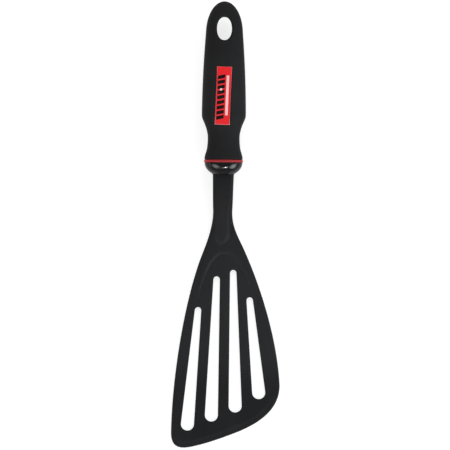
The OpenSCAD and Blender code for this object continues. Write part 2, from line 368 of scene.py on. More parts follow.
def place(tree, axis):
    """The object's own coordinate along one axis, in metres."""
    coord = tree.nodes.new("ShaderNodeTexCoord")
    split = tree.nodes.new("ShaderNodeSeparateXYZ")
    tree.links.new(coord.outputs["Object"], split.inputs["Vector"])
    return split.outputs[axis]


def painted_light_and_shade(tree, colour, low, high, painted_shade_stops):
    """A colour dimmed along the turner, as painted light and shade. Each stop is (share of the way from
    low to high, level).
    """
    ramp = tree.nodes.new("ShaderNodeValToRGB")
    ramp.color_ramp.interpolation = "EASE"
    elements = ramp.color_ramp.elements
    while len(elements) < len(painted_shade_stops):
        elements.new(0.5)
    for k, (share, level) in enumerate(painted_shade_stops):
        elements[k].position = share
        elements[k].color = (level, level, level, 1)
    tree.links.new(remap(tree, place(tree, "Y"), 0, 1, low, high), ramp.inputs["Fac"])
    dim = tree.nodes.new("ShaderNodeVectorMath")
    dim.operation = "MULTIPLY"
    tree.links.new(colour, dim.inputs[0])
    tree.links.new(ramp.outputs["Color"], dim.inputs[1])
    return dim.outputs["Vector"]


def bumps(tree, layers):
    """Stacked bumps. Each layer is (height value, distance in metres, strength)."""
    normal = None
    for value, distance, strength in layers:
        b = tree.nodes.new("ShaderNodeBump")
        b.inputs["Distance"].default_value = distance
        b.inputs["Strength"].default_value = strength
        tree.links.new(value, b.inputs["Height"])
        if normal is not None:
            tree.links.new(normal, b.inputs["Normal"])
        normal = b.outputs["Normal"]
    return normal


def nylon():
    """Black moulded nylon with a fine grain and faint flow marks, and painted light and shade along its
    length: paler in mid blade, darker at the tip and along the shank.
    """
    m, tree, p = new_material("nylon_black")
    grain = noise(tree, 3200, 2.0)
    patch = noise(tree, 38, 4.0, stretch=(1, 0.35, 1))
    flow = noise(tree, 160, 3.0, stretch=(1, 0.12, 1))
    black = tint(tree, patch, (0.0194, 0.02, 0.0215), (0.0244, 0.025, 0.0265))
    # Painted light and shade: the blade's tone is dimmed at the tip and along the shank where less light
    # falls, not the nylon's own colour.
    painted_shade_stops = [(0, 0.7), (0.2, 0.72), (0.34, 1.0), (0.5, 1.0), (0.77, 0.93)]
    painted_shade_stops += [(0.81, 0.78), (0.87, 0.64), (0.93, 0.6), (1, 0.75)]
    tree.links.new(painted_light_and_shade(tree, black, BLADE_LO.y, BOLSTER_LO.y, painted_shade_stops), p.inputs["Base Color"])
    tree.links.new(remap(tree, patch, 0.4, 0.46), p.inputs["Roughness"])
    p.inputs["Specular IOR Level"].default_value = 0.03
    tree.links.new(bumps(tree, [(flow, 0.00006, 0.25), (grain, 0.00007, 0.75)]), p.inputs["Normal"])
    return m


def soft_rubber():
    """Soft-touch grip: velvety, with a very fine texture, and painted light and shade along its length:
    darker near the ring and past the palm swell, paler over the swell and at the end.
    """
    m, tree, p = new_material("soft_touch_black")
    grain = noise(tree, 4200, 2.0)
    patch = noise(tree, 55, 4.0)
    black = tint(tree, patch, (0.0103, 0.0106, 0.0114), (0.0133, 0.0136, 0.0145))
    # Painted light and shade: the grip's tone is dimmed near the ring and past the palm swell where less
    # light falls.
    painted_shade_stops = [(0, 0.8), (0.2, 0.82), (0.38, 1.0), (0.54, 1.0), (0.7, 0.8), (0.88, 0.84), (1, 1.0)]
    tree.links.new(painted_light_and_shade(tree, black, SLEEVE_LO.y, SLEEVE_HI.y, painted_shade_stops), p.inputs["Base Color"])
    tree.links.new(remap(tree, patch, 0.64, 0.72), p.inputs["Roughness"])
    p.inputs["Specular IOR Level"].default_value = 0.08
    tree.links.new(bumps(tree, [(patch, 0.0002, 0.1), (grain, 0.00005, 0.75)]), p.inputs["Normal"])
    return m


def gloss(name, dark, light, rough, level=0.5, waves=0.25):
    """Polished moulded plastic, with slight waviness and smears that break up its reflections."""
    m, tree, p = new_material(name)
    wave = noise(tree, 220, 2.0)
    smear = noise(tree, 90, 5.0, stretch=(1, 0.4, 1))
    tree.links.new(tint(tree, smear, dark, light), p.inputs["Base Color"])
    tree.links.new(remap(tree, smear, *rough), p.inputs["Roughness"])
    p.inputs["IOR"].default_value = 1.5
    p.inputs["Specular IOR Level"].default_value = level
    tree.links.new(bumps(tree, [(wave, 0.00003, waves)]), p.inputs["Normal"])
    return m


def badge_red():
    """Glossy red, with the pale line of a clear coating where it rolls over the badge's edge."""
    m, tree, p = new_material("badge_red")
    top = PLATE_HI.z
    height = remap(tree, place(tree, "Z"), 0, 1, top - 0.16 * MM, top - 0.01 * MM)
    smear = noise(tree, 90, 5.0, stretch=(1, 0.4, 1))
    edge = tint(tree, height, (0.84, 0.42, 0.43), (0.82, 0.012, 0.018), 0.0, 1.0)
    tree.links.new(edge, p.inputs["Base Color"])
    tree.links.new(remap(tree, smear, 0.3, 0.4), p.inputs["Roughness"])
    p.inputs["Specular IOR Level"].default_value = 0.3
    p.inputs["Coat Weight"].default_value = 0.3
    p.inputs["Coat Roughness"].default_value = 0.05
    return m


def matte_plastic(name, dark, light):
    """Plain moulded plastic or film, for the pieces that are hidden inside."""
    m, tree, p = new_material(name)
    grain = noise(tree, 2500, 2.0)
    patch = noise(tree, 70, 4.0)
    tree.links.new(tint(tree, patch, dark, light), p.inputs["Base Color"])
    tree.links.new(remap(tree, patch, 0.45, 0.6), p.inputs["Roughness"])
    tree.links.new(bumps(tree, [(grain, 0.00004, 0.4)]), p.inputs["Normal"])
    return m


def turned_steel():
    """Steel with fine turning lines round the pins."""
    m, tree, p = new_material("pin_steel")
    lines = noise(tree, 900, 2.0, stretch=(8, 1, 1))
    tree.links.new(tint(tree, lines, (0.48, 0.48, 0.5), (0.66, 0.66, 0.68)), p.inputs["Base Color"])
    tree.links.new(remap(tree, lines, 0.22, 0.4), p.inputs["Roughness"])
    p.inputs["Metallic"].default_value = 1.0
    tree.links.new(bumps(tree, [(lines, 0.00002, 0.4)]), p.inputs["Normal"])
    return m


NYLON = nylon()
SOFT = soft_rubber()
BOLSTER_GLOSS = gloss(
    "bolster_gloss",
    (0.006, 0.006, 0.007),
    (0.009, 0.009, 0.01),
    rough=(0.1, 0.13),
    level=0.2,
    waves=0.03,
)
RING_RED = gloss(
    "ring_red",
    (0.33, 0.017, 0.02),
    (0.38, 0.022, 0.026),
    rough=(0.4, 0.5),
    level=0.18,
)
BADGE_RED = badge_red()
BADGE_BLACK = gloss(
    "badge_black",
    (0.006, 0.004, 0.004),
    (0.01, 0.007, 0.007),
    rough=(0.2, 0.3),
    level=0.2,
)
BADGE_WHITE = gloss(
    "badge_white",
    (0.92, 0.56, 0.58),
    (0.97, 0.62, 0.64),
    rough=(0.25, 0.35),
)
CORE = matte_plastic("core_plastic", (0.05, 0.05, 0.055), (0.07, 0.07, 0.075))
FILM = matte_plastic("adhesive_film", (0.62, 0.6, 0.52), (0.7, 0.68, 0.6))
STEEL = turned_steel()


# ---------------------------------------------------------------- blade, neck and shank

# How far the shank goes into the bolster.
SHANK_IN = 2

# Outline of the head, anticlockwise from above, as curves of [x, v].
LEFT_SHANK = [[-7.4, -SHANK_IN], [-7.3, 8], [-7.3, 17], [-7.05, 25]]
LEFT_FLARE = [[-7.05, 25], [-6.8, 36], [-11.5, 47.8], [-13.8, 53.8]]
LEFT_SIDE = [[-13.8, 53.8], [-24.9, 81.4], [-34.4, 134.5], [-35.2, 178.2]]
TIP_CORNER = [[-35.2, 178.2], [-35.4, 186], [-33.5, 192], [-21.4, 189.5]]
FRONT_EDGE = [[-21.4, 189.5], [-9.2, 186.9], [0.2, 183.1], [9.2, 179.7]]
RIGHT_CORNER = [[9.2, 179.7], [25.6, 173.2], [40.7, 163.3], [40.1, 145.6]]
RIGHT_SIDE = [[40.1, 145.6], [38.2, 115.6], [28.05, 81.6], [15.2, 53]]
RIGHT_FLARE = [[15.2, 53], [10.9, 43.4], [5.8, 36.3], [6.4, 24.6]]
RIGHT_SHANK = [[6.4, 24.6], [6.8, 17], [6.9, 8], [7.4, -SHANK_IN]]
OUTLINE = [
    LEFT_SHANK, LEFT_FLARE, LEFT_SIDE, TIP_CORNER, FRONT_EDGE,
    RIGHT_CORNER, RIGHT_SIDE, RIGHT_FLARE, RIGHT_SHANK,
]
# Arch where the thin field of the blade begins, and the line round the rounded end of the shank.
ARCH = [
    [[-24, 108], [-14.5, 68], [-8.6, 53.8], [1.2, 53.8]],
    [[1.2, 53.8], [10.8, 53.8], [17.5, 68], [31, 108]],
]
NOSE = [
    [[-7.6, 12], [-7.6, 20], [-7.5, 28], [-7.3, 36]],
    [[-7.3, 36], [-7.1, 43.6], [-5.2, 48], [-1.3, 48]],
    [[-1.3, 48], [2.0, 48], [3.9, 45.5], [4.6, 40.5]],
    [[4.6, 40.5], [5.3, 36], [6.2, 24], [6.9, 12]],
]
# Middle of each slot's narrow and wide ends, [x, v].
SLOTS = [
    [[-17, 94.5], [-23.8, 173.6]],
    [[-4.2, 73], [-7.2, 167.2]],
    [[7.3, 68.5], [9.3, 160.8]],
    [[18.9, 87.4], [25.6, 151.4]],
]
SLOT_NECK_R, SLOT_TIP_R = 2.2, 4.5
SLOT_STEP, SLOT_NECK_STEPS, SLOT_TIP_STEPS = 1.8, 20, 28
PLATE_ROOT_T, PLATE_TIP_T, PLATE_END_V = 2.6, 1.5, 190
NECK_T = 3.5
RIM_V0, RIM_V1 = 56, 96

# Radius of the blade's edges, and the wider, squarer rounding of the shank's.
EDGE_R, EDGE_POWER = 0.7, 2
SHANK_ROUND, SHANK_POWER = 2.2, 2.2
# Width and depth of the taper along the front edge, and the part of v over which it fades in.
TAPER_W, TAPER_H = 4.4, 0.6
TAPER_V = (146, 164)
# Width of the step down at the arch, and of the slope beside the shank and round its end.
ARCH_STEP = (-0.2, 1.4)
SHANK_SLOPE_W, NOSE_SLOPE_W, SLOPE_LEAD = 2.0, 1.2, 0.4
# Parts of v over which the shank gives way to the blade: the slope's width, its height, the edge's
# middle and the edge's rounding.
SLOPE_W_V, SLOPE_H_V, SEAM_V, ROUND_V = (26, 44), (14, 30), (16, 34), (19, 36)
# Shank: v, underside, top.
SHANK_ROWS = [
    [-2, 7, 15], [0, 7, 15], [8, 6.3, 14.1], [16, 5.0, 12.2], [24, 3.3, 9.8],
    [32, 1.6, 7.3], [40, 0.45, 5.3], [46, 0.05, 4.4], [50, 0, 4.2], [56, 0, 4.2], [200, 0, 4.2],
]
# Web either side of the shank: v, top.
WEB_ROWS = [[-2, 9], [14, 9], [22, 7.4], [28, 5.5], [34, 4.25], [40, 3.65], [48, 3.5], [60, 3.5]]
EDGE_ANGLES = (0, 14, 28, 42, 56, 72, 87)
# Distances of the field's closer rows of points from each line, to its left.
SLOPE_ROWS = (0.5, 0.1, -0.35, -0.8, -1.25, -1.7)
TAPER_ROWS = (1.4, 2.1, 2.8, 3.2, 3.6, 4.0, 4.4, 4.8)
# Spacing of points along the outline, along the field's lines and in its grid, and the least gaps
# from a field point to the rim, to a slot and to another point.
OUTLINE_STEP, LINE_STEP, GRID_STEP = 1.1, 0.8, 1.9
GRID_ROW = GRID_STEP * 0.87
RIM_GAP, SLOT_GAP, POINT_GAP = 0.45, 0.6, 0.42

TANG_HALF_W, TANG_HALF_H, TANG_END = 5, 2.75, 34
TANG_CORNER, TANG_CHAMFER = 0.8, 0.6


def scaled(curves):
    """Curves at the frame's size, as [x, -v]."""
    return [[[x, -v * HEAD_SCALE] for x, v in c] for c in curves]


def plate_top(v):
    """Top of the thin field, which gets thinner towards the front."""
    return PLATE_ROOT_T + (PLATE_TIP_T - PLATE_ROOT_T) * (v - RIM_V0) / (PLATE_END_V - RIM_V0)


def rim_top(v):
    """Top of the stiffened neck and its rims, which fade into the blade."""
    web = smooth(WEB_ROWS, v, 1) - NECK_T
    fade = (NECK_T - plate_top(v)) * (1 - ease(RIM_V0, RIM_V1, v))
    return plate_top(v) + fade + web


def underside(v):
    """Height of the flat lower face, which climbs to the handle along the shank."""
    return smooth(SHANK_ROWS, v, 1)


ARCH_LINE = path(scaled(ARCH), LINE_STEP)
NOSE_LINE = path(scaled(NOSE), LINE_STEP)
FRONT_LINE = path(scaled([TIP_CORNER, FRONT_EDGE, RIGHT_CORNER]), LINE_STEP)


def front_taper(points):
    """How far the upper face falls towards the blade's front edge."""
    v = -points[:, 1] / HEAD_SCALE
    near = np.clip(1 - side_distance(points, FRONT_LINE) / TAPER_W, 0, 1)
    return TAPER_H * ease(0, 0.3, near) * mix(0.35, 1, near) * ease(*TAPER_V, v)


def topside(points):
    """Height of the upper face, away from its edges, at [x, -v]."""
    v = -points[:, 1] / HEAD_SCALE
    field = ease(*ARCH_STEP, signed_distance(points, ARCH_LINE))
    base = mix(rim_top(v), plate_top(v), field)
    slope_w = mix(SHANK_SLOPE_W, NOSE_SLOPE_W, ease(*SLOPE_W_V, v)) + SLOPE_LEAD
    ridge = ease(0, 1, (signed_distance(points, NOSE_LINE) + SLOPE_LEAD) / slope_w)
    ridge = 1 + (ridge - 1) * ease(*SLOPE_H_V, v)
    return base + (smooth(SHANK_ROWS, v, 2) - base) * ridge - front_taper(points)


def seam_height(points):
    """Middle of the blade's edge, which climbs to the middle of the shank."""
    v = -points[:, 1] / HEAD_SCALE
    blade_mid = (rim_top(v) - front_taper(points) + underside(v)) / 2
    shank_mid = (smooth(SHANK_ROWS, v, 1) + smooth(SHANK_ROWS, v, 2)) / 2
    return mix(shank_mid, blade_mid, ease(*SEAM_V, v))


def normals_left(line, closed):
    """Unit normals to the left of the way that a line runs."""
    if closed:
        d = np.roll(line, -1, 0) - np.roll(line, 1, 0)
    else:
        d = np.gradient(line, axis=0)
    n = np.stack([-d[:, 1], d[:, 0]], 1)
    return n / np.linalg.norm(n, axis=1)[:, None]


def slot_loop(narrow, wide):
    """A tapered slot, clockwise from above."""
    p1 = np.array([narrow[0], -narrow[1] * HEAD_SCALE])
    p2 = np.array([wide[0], -wide[1] * HEAD_SCALE])
    along = math.atan2(*(p2 - p1)[::-1])
    side = math.pi / 2 + math.asin((SLOT_TIP_R - SLOT_NECK_R) / np.linalg.norm(p2 - p1))

    def arc(p, r, start, sweep, steps):
        a = start + sweep * np.arange(steps + 1) / steps
        return p + r * np.stack([np.cos(a), np.sin(a)], 1)

    head = arc(p1, SLOT_NECK_R, along + side, 2 * math.pi - 2 * side, SLOT_NECK_STEPS)
    foot = arc(p2, SLOT_TIP_R, along - side, 2 * side, SLOT_TIP_STEPS)
    steps = int(np.linalg.norm(p2 - p1) / SLOT_STEP)
    q = (np.arange(1, steps) / steps)[:, None]
    loop = np.vstack([head, mix(head[-1], foot[0], q), foot, mix(foot[-1], head[0], q)])
    return loop[::-1]


class Plan:
    """The blade from above: its points, the faces between them and the loops that round each edge."""

    def __init__(self):
        self.points = np.empty((0, 2))
        self.lift = np.empty(0)
        self.seam = np.empty(0)
        self.faces = []
        self.rounds = []

    def add(self, points, lift, seam):
        """Adds points at lift, from 0 at the seam's height to 1 on the face. Returns their places."""
        start = len(self.points)
        self.points = np.vstack([self.points, points])
        self.lift = np.append(self.lift, np.broadcast_to(lift, len(points)))
        self.seam = np.append(self.seam, np.broadcast_to(seam, len(points)))
        return start + np.arange(len(points))

    def round_edge(self, line, closed, width, power, seam):
        """Adds loops nested inwards from an edge, which round it over that width."""
        n = normals_left(line, closed)
        if not closed:
            n[0], n[-1] = (1, 0), (-1, 0)
        loops = []
        for a in np.radians(EDGE_ANGLES):
            inward = width * (1 - np.cos(a) ** (2 / power))
            loops.append(self.add(line + n * inward[:, None], np.sin(a) ** (2 / power), seam))
        for outer, inner in zip(loops[:-1], loops[1:]):
            for i in range(len(line) if closed else len(line) - 1):
                j = (i + 1) % len(line)
                self.faces.append((outer[i], outer[j], inner[j], inner[i]))
        self.rounds.append(loops)

    def inner_loops(self):
        """The loop nearest the face, for each edge."""
        return [loops[-1] for loops in self.rounds]


def round_edges(plan):
    """Rounds the outline, softly along the shank, and then each slot."""
    line = path(scaled(OUTLINE), OUTLINE_STEP)
    blend = ease(*ROUND_V, -line[:, 1] / HEAD_SCALE)
    width, power = mix(SHANK_ROUND, EDGE_R, blend), mix(SHANK_POWER, EDGE_POWER, blend)
    plan.round_edge(line, False, width, power, seam_height(line))
    for narrow, wide in SLOTS:
        loop = slot_loop(narrow, wide)
        ones = np.ones(len(loop))
        seam = plate_top(-loop[:, 1] / HEAD_SCALE) / 2
        plan.round_edge(loop, True, EDGE_R * ones, EDGE_POWER * ones, seam)


def field_rows(rim):
    """Rows of points along the arch, the nose and the front taper, then a staggered grid."""
    rows = []
    lines = ((ARCH_LINE, SLOPE_ROWS), (NOSE_LINE, SLOPE_ROWS), (FRONT_LINE, TAPER_ROWS))
    for line, offsets in lines:
        n = normals_left(line, False)
        rows += [line + n * offset for offset in offsets]
    lo, hi = rim.min(0), rim.max(0)
    for k, y in enumerate(np.arange(lo[1], hi[1], GRID_ROW)):
        xs = np.arange(lo[0] + (k % 2) * GRID_STEP / 2, hi[0], GRID_STEP)
        rows.append(np.stack([xs, np.full(len(xs), y)], 1))
    return rows


def field_points(rim, hole_rims):
    """Points well inside the rim, clear of the slots and of each other."""
    field = np.empty((0, 2))
    for row in field_rows(rim):
        ok = inside(row, rim) & (side_distance(row, close(rim)) > RIM_GAP)
        for h in hole_rims:
            ok &= ~inside(row, h) & (side_distance(row, close(h)) > SLOT_GAP)
        row = row[ok]
        if len(field) and len(row):
            gap = np.sqrt(((row[:, None] - field[None]) ** 2).sum(2)).min(1)
            row = row[gap > POINT_GAP]
        field = np.vstack([field, row])
    return field


def left_turn(a, b, c):
    """Whether three points in a plane turn to the left."""
    return (b[0] - a[0]) * (c[1] - a[1]) - (b[1] - a[1]) * (c[0] - a[0]) > 0


def triangulate(points, loops):
    """Triangles over flat points, counter-clockwise, with every loop's sides kept."""
    edges = [(int(a), int(b)) for loop in loops for a, b in zip(loop, np.roll(loop, -1))]
    result = geometry.delaunay_2d_cdt([Vector(p) for p in points], edges, [], 1, 1e-6)
    origin = [o[0] for o in result[3]]
    tris = [tuple(origin[i] for i in tri) for tri in result[2]]
    return [t if left_turn(*(points[i] for i in t)) else t[::-1] for t in tris]


def fill_field(plan):
    """Fills the face between the outline and the slots."""
    loops = plan.inner_loops()
    rim, *hole_rims = [plan.points[loop] for loop in loops]
    inner = plan.add(field_points(rim, hole_rims), 1.0, 0.0)
    used = np.concatenate([*loops, inner])
    starts = np.cumsum([0] + [len(loop) for loop in loops])
    local = [np.arange(a, b) for a, b in zip(starts[:-1], starts[1:])]
    tris = np.array(triangulate(plan.points[used], local))
    middle = plan.points[used][tris].mean(1)
    ok = inside(middle, rim)
    for h in hole_rims:
        ok &= ~inside(middle, h)
    plan.faces += [tuple(f) for f in used[tris[ok]]]


def two_sheets(plan):
    """The plan lifted into an upper and a lower sheet, which share the seam round each edge."""
    high, low = topside(plan.points), underside(-plan.points[:, 1] / HEAD_SCALE)
    top = np.column_stack([plan.points, mix(plan.seam, high, plan.lift)])
    bottom = np.column_stack([plan.points, mix(plan.seam, low, plan.lift)])
    shared = np.zeros(len(top), bool)
    for loops in plan.rounds:
        shared[loops[0]] = True
    under = np.where(shared, np.arange(len(top)), len(top) + np.cumsum(~shared) - 1)
    faces = plan.faces + [tuple(under[list(f)][::-1]) for f in plan.faces]
    return np.vstack([top, bottom[~shared]]), faces, under


def tang_points():
    """The tang's sections, from the shank's hidden end back into the core."""
    corners = rounded_polygon(box(TANG_HALF_W, TANG_HALF_H), TANG_CORNER, 3)
    rings = []
    ends = ((SHANK_IN, 0), (SHANK_IN + 1, 0), (TANG_END - 1, 0), (TANG_END, TANG_CHAMFER))
    for t, drawn_in in ends:
        c = inset(corners, drawn_in)
        rings.append(np.column_stack([c[:, 0], np.full(len(c), t), HANDLE_Z + c[:, 1]]))
    return rings


def close_shank(plan, points, faces, under):
    """Closes the shank's hidden end round the tang, and adds the tang."""
    left = [loop[0] for loop in plan.rounds[0]]
    right = [loop[-1] for loop in plan.rounds[0]]
    ring = right + left[::-1] + [under[i] for i in left[1:]] + [under[i] for i in right[:0:-1]]
    rings = tang_points()
    n, start = len(rings[0]), len(points)
    points = np.vstack([points, *rings])
    for k in range(len(rings) - 1):
        a, b = start + k * n, start + (k + 1) * n
        faces += [(a + (i + 1) % n, a + i, b + i, b + (i + 1) % n) for i in range(n)]
    faces.append(tuple(start + (len(rings) - 1) * n + i for i in range(n))[::-1])

    ends = np.array(ring + [start + i for i in range(n)])
    flat = points[ends][:, [0, 2]]
    tang = np.arange(n) + len(ring)
    for tri in triangulate(flat, [np.arange(len(ring)), tang]):
        if not inside(flat[list(tri)].mean(0)[None], flat[tang])[0]:
            faces.append(tuple(ends[list(tri)][::-1]))
    return points, faces


def blade():
    """Blade, neck, shank and tang as one moulding, drilled for the cross pins."""
    plan = Plan()
    round_edges(plan)
    fill_field(plan)
    points, faces, under = two_sheets(plan)
    points, faces = close_shank(plan, points, faces, under)
    obj = make("turner_head", points, faces, NYLON)
    cut(obj, [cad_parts["tang_pins"]], keep_tools=True)
    return declare(obj, "turner_blade")


# ---------------------------------------------------------------- handle

RING_POINTS, CORE_POINTS = 96, 48
SECTION_POWER = 2.4
SLEEVE_T = 2.4
CAP_L = HANDLE_L / 6
# Grip: t, half width, half height.
GRIP_ROWS = [
    [10, 13.22, 10.3],
    [11.5, 13.2, 10.27],
    [13, 12.95, 10.2],
    [14.5, 12.5, 10.08],
    [16.5, 11.9, 9.9],
    [19, 11.42, 9.72],
    [23.5, 11.06, 9.6],
    [27.7, 11.18, 9.72],
    [31, 11.9, 10.02],
    [34, 12.85, 10.34],
    [37.2, 14.25, 10.7],
    [39.5, 15.1, 10.9],
    [41.5, 15.27, 10.97],
    [46, 15.27, 11],
    [60, 14.95, 11],
    [75, 14.35, 10.75],
    [90, 13.45, 9.9],
    [100, 12.75, 9.1],
    [110, 12.4, 7.7],
    [120, 12.2, 6.4],
]
# Rounding of the grip's front edge.
GRIP_SOFT = 0.8

# Hang hole, the core's lining round it and the radius of its rim.
HOLE_T, HOLE_W, HOLE_L, HOLE_POWER = 101, 10.3, 16.5, 2.2
HOLE_LINING = 1.5
RIM_R = 1.7
RIM_ANGLES = (0, 15, 30, 45, 60, 74)
FLARE_OUT, FLARE_UP, CUTTER_H = 1.2, 0.3, 14.0

# Bolster: half width, half height and length of the dome, the lip's share of it and the edges.
DOME_W, DOME_H, DOME_L, DOME_LIP = 13.25, 10.35, BOLSTER_L * 1.17, 0.585
BOLSTER_SOFT = 0.7
LIP_OUT, LIP_IN = 0.08, 0.12
# Half sizes of the shank's socket and the spigot's recess, and the gap round the tang.
SOCKET_W, SOCKET_H, SOCKET_POWER = 7.45, 4.05, 5
SPIGOT_W, SPIGOT_H = 9.2, 6.8
TANG_GAP, TANG_POWER = 0.1, 8
STEP = 0.01

RING_SOFT = 0.55


def cap(t, drawn_in=0):
    """Shrinks the grip's sections to its rounded end."""
    q = (np.asarray(t, float) - (HANDLE_L - CAP_L)) / (CAP_L - drawn_in)
    return np.sqrt(np.clip(1 - np.clip(q, 0, 1) ** 2, 0, 1))


def section(t, w, h, n=RING_POINTS, power=SECTION_POWER):
    """A rounded section of the handle at t, which reaches w and h to each side of its axis."""
    a = 2 * np.pi * np.arange(n) / n
    x = w * rounded(np.cos(a), power)
    z = HANDLE_Z + h * rounded(np.sin(a), power)
    return np.column_stack([x, np.full(n, t), z])


def grip_section(t, drawn_in=0, extra=0, n=RING_POINTS):
    """The grip's section at t. drawn_in makes it the core's, and extra rounds its front edge."""
    f = float(cap(t, drawn_in))
    w = (float(smooth(GRIP_ROWS, t, 1)) - drawn_in) * f - extra
    h = (float(smooth(GRIP_ROWS, t, 2)) - drawn_in) * f - extra
    return section(t, w, h, n)


def grip_height(x, t):
    """Half height of the grip's surface at x, t."""
    f = cap(t)
    w, h = smooth(GRIP_ROWS, t, 1) * f, smooth(GRIP_ROWS, t, 2) * f
    u = np.clip(np.abs(x) / w, 0, 1)
    return h * (1 - u ** SECTION_POWER) ** (1 / SECTION_POWER)


def hole_outline(extra, count=72):
    """Hang hole's oval, widened by extra, and its outward directions."""
    a = 2 * np.pi * (np.arange(count) + 0.5) / count
    c, s = rounded(np.cos(a), HOLE_POWER), rounded(np.sin(a), HOLE_POWER)
    w, length = HOLE_W / 2 + extra, HOLE_L / 2 + extra
    out = np.stack([np.cos(a) * length, np.sin(a) * w], 1)
    out = out / np.linalg.norm(out, axis=1)[:, None]
    return np.stack([c * w, HOLE_T + s * length], 1), out


def hole_cutter():
    """A shaft with flared ends, which leaves a rounded rim on both faces of the grip."""
    base, out = hole_outline(0)
    upper = []
    for a in np.radians(RIM_ANGLES):
        p = base + out * RIM_R * (1 - math.cos(a))
        upper.append((p, grip_height(p[:, 0], p[:, 1]) - RIM_R + RIM_R * math.sin(a)))
    p = upper[-1][0] + out * FLARE_OUT
    upper.append((p, grip_height(p[:, 0], p[:, 1]) + FLARE_UP))
    upper.append((p, np.full(len(p), CUTTER_H)))
    rings = [np.column_stack([p, HANDLE_Z + z]) for p, z in upper[::-1]]
    rings += [np.column_stack([p, HANDLE_Z - z]) for p, z in upper]
    return make("hole_cutter", *skin([r[::-1] for r in rings]), None)


def grip_skin():
    """Sections of the grip, closer together over the waist and at both ends."""
    rings = []
    for a in np.radians(np.linspace(0, 90, 7)):
        t = GRIP_T0 + GRIP_SOFT * (1 - math.cos(a))
        rings.append(grip_section(t, extra=GRIP_SOFT * (1 - math.sin(a))))
    rings += [grip_section(t) for t in np.arange(GRIP_T0 + 1.4, 44, 0.8)]
    rings += [grip_section(t) for t in np.arange(44, HANDLE_L - CAP_L, 1.6)]
    for a in np.radians(np.linspace(0, 88.5, 30)):
        rings.append(grip_section(HANDLE_L - CAP_L + CAP_L * math.sin(a)))
    return [r[::-1] for r in rings]


def core_cutter():
    """The hard core's shape inside the sleeve, less the lining of the hang hole."""
    places = list(np.arange(GRIP_T0, HANDLE_L - CAP_L, 2.5))
    for a in np.radians(np.linspace(0, 86, 10)):
        places.append(HANDLE_L - CAP_L + (CAP_L - SLEEVE_T) * math.sin(a))
    rings = [grip_section(t, SLEEVE_T, n=CORE_POINTS) for t in places]
    rings.insert(0, rings[0] - [0, 1, 0])
    core = make("cavity", *skin([r[::-1] for r in rings]), None)
    eye, _ = hole_outline(HOLE_LINING)
    shaft = [flat_ring(eye, z)[::-1] for z in (2 * HANDLE_Z + 2, -2)]
    return cut(core, [make("eye", *skin(shaft), None)])


def grip():
    """Soft sleeve: outer skin, less the hard core, the hang hole and the badge's recess."""
    obj = make("grip", *skin(grip_skin()), SOFT)
    pocket = badge_outline(BADGE_W + 2 * BADGE_GAP, BADGE_L + 2 * BADGE_GAP, POCKET_R)
    recess = prism("recess", pocket, FILM_LO.z / MM, 2 * HANDLE_Z + 2, 0, None)
    cut(obj, [core_cutter(), hole_cutter(), recess], sharp=30)
    return declare(obj, "grip_sleeve")


def dome(t):
    """Share of the bolster's full section at t, with a short straight lip in front."""
    return max(math.sqrt(1 - ((BOLSTER_L - t) / DOME_L) ** 2), DOME_LIP)


def fine_section(t, w, h, power=SECTION_POWER):
    """A section of the bolster, with twice the grip's points."""
    return section(t, w, h, 2 * RING_POINTS, power)


def bolster_outside():
    """Sections from the rounded rear edge forwards over the dome."""
    rings = []
    for a in np.radians(np.linspace(0, 90, 6)):
        t = BOLSTER_L - BOLSTER_SOFT * (1 - math.cos(a))
        drop = BOLSTER_SOFT * (1 - math.sin(a))
        rings.append(fine_section(t, DOME_W * dome(t) - drop, DOME_H * dome(t) - drop))
    for q in np.linspace(0.04, 1, 30):
        t = (BOLSTER_L - BOLSTER_SOFT) * (1 - q) ** 1.3
        rings.append(fine_section(t, DOME_W * dome(t), DOME_H * dome(t)))
    return rings


def bolster_inside():
    """The front lip, then back through the shank's socket, round the tang and the spigot."""
    lip_w, lip_h = DOME_W * DOME_LIP, DOME_H * DOME_LIP
    tang_w, tang_h = TANG_HALF_W + TANG_GAP, TANG_HALF_H + TANG_GAP
    return [
        fine_section(-LIP_OUT, lip_w - LIP_IN, lip_h - LIP_IN),
        fine_section(-LIP_OUT, mix(SOCKET_W, lip_w, 0.3), mix(SOCKET_H, lip_h, 0.5)),
        fine_section(0.15, SOCKET_W, SOCKET_H, SOCKET_POWER),
        fine_section(SHANK_IN, SOCKET_W, SOCKET_H, SOCKET_POWER),
        fine_section(SHANK_IN + STEP, tang_w, tang_h, TANG_POWER),
        fine_section(BOLSTER_L / 2, tang_w, tang_h, TANG_POWER),
        fine_section(BOLSTER_L / 2 + STEP, SPIGOT_W, SPIGOT_H),
        fine_section(BOLSTER_L, SPIGOT_W, SPIGOT_H),
    ]


def bolster():
    """Polished dome with a softened lip round the shank, hollow for the core's spigot."""
    rings = bolster_outside() + bolster_inside()
    obj = make("bolster_shell", *skin(rings, closed=True), BOLSTER_GLOSS, sharp=50)
    return declare(obj, "bolster")


def accent_ring():
    """Thin rounded ring between the bolster and the grip."""
    half_w = (RING_HI.x - RING_LO.x) / 2 / MM
    half_h = (RING_HI.z - RING_LO.z) / 2 / MM
    edge = []
    for a in np.radians(np.linspace(0, 90, 8)):
        edge.append((GRIP_T0 - RING_SOFT + RING_SOFT * math.cos(a), RING_SOFT * (1 - math.sin(a))))
    edge += [(2 * BOLSTER_L + RING_T - t, e) for t, e in edge[::-1]]
    outer = [section(t, half_w - e, half_h - e) for t, e in edge]
    inner = [section(BOLSTER_L, SPIGOT_W, SPIGOT_H), section(GRIP_T0, SPIGOT_W, SPIGOT_H)]
    obj = make("ring_band", *skin(outer + inner, closed=True), RING_RED, sharp=50)
    return declare(obj, "accent_ring")


# ---------------------------------------------------------------- badge

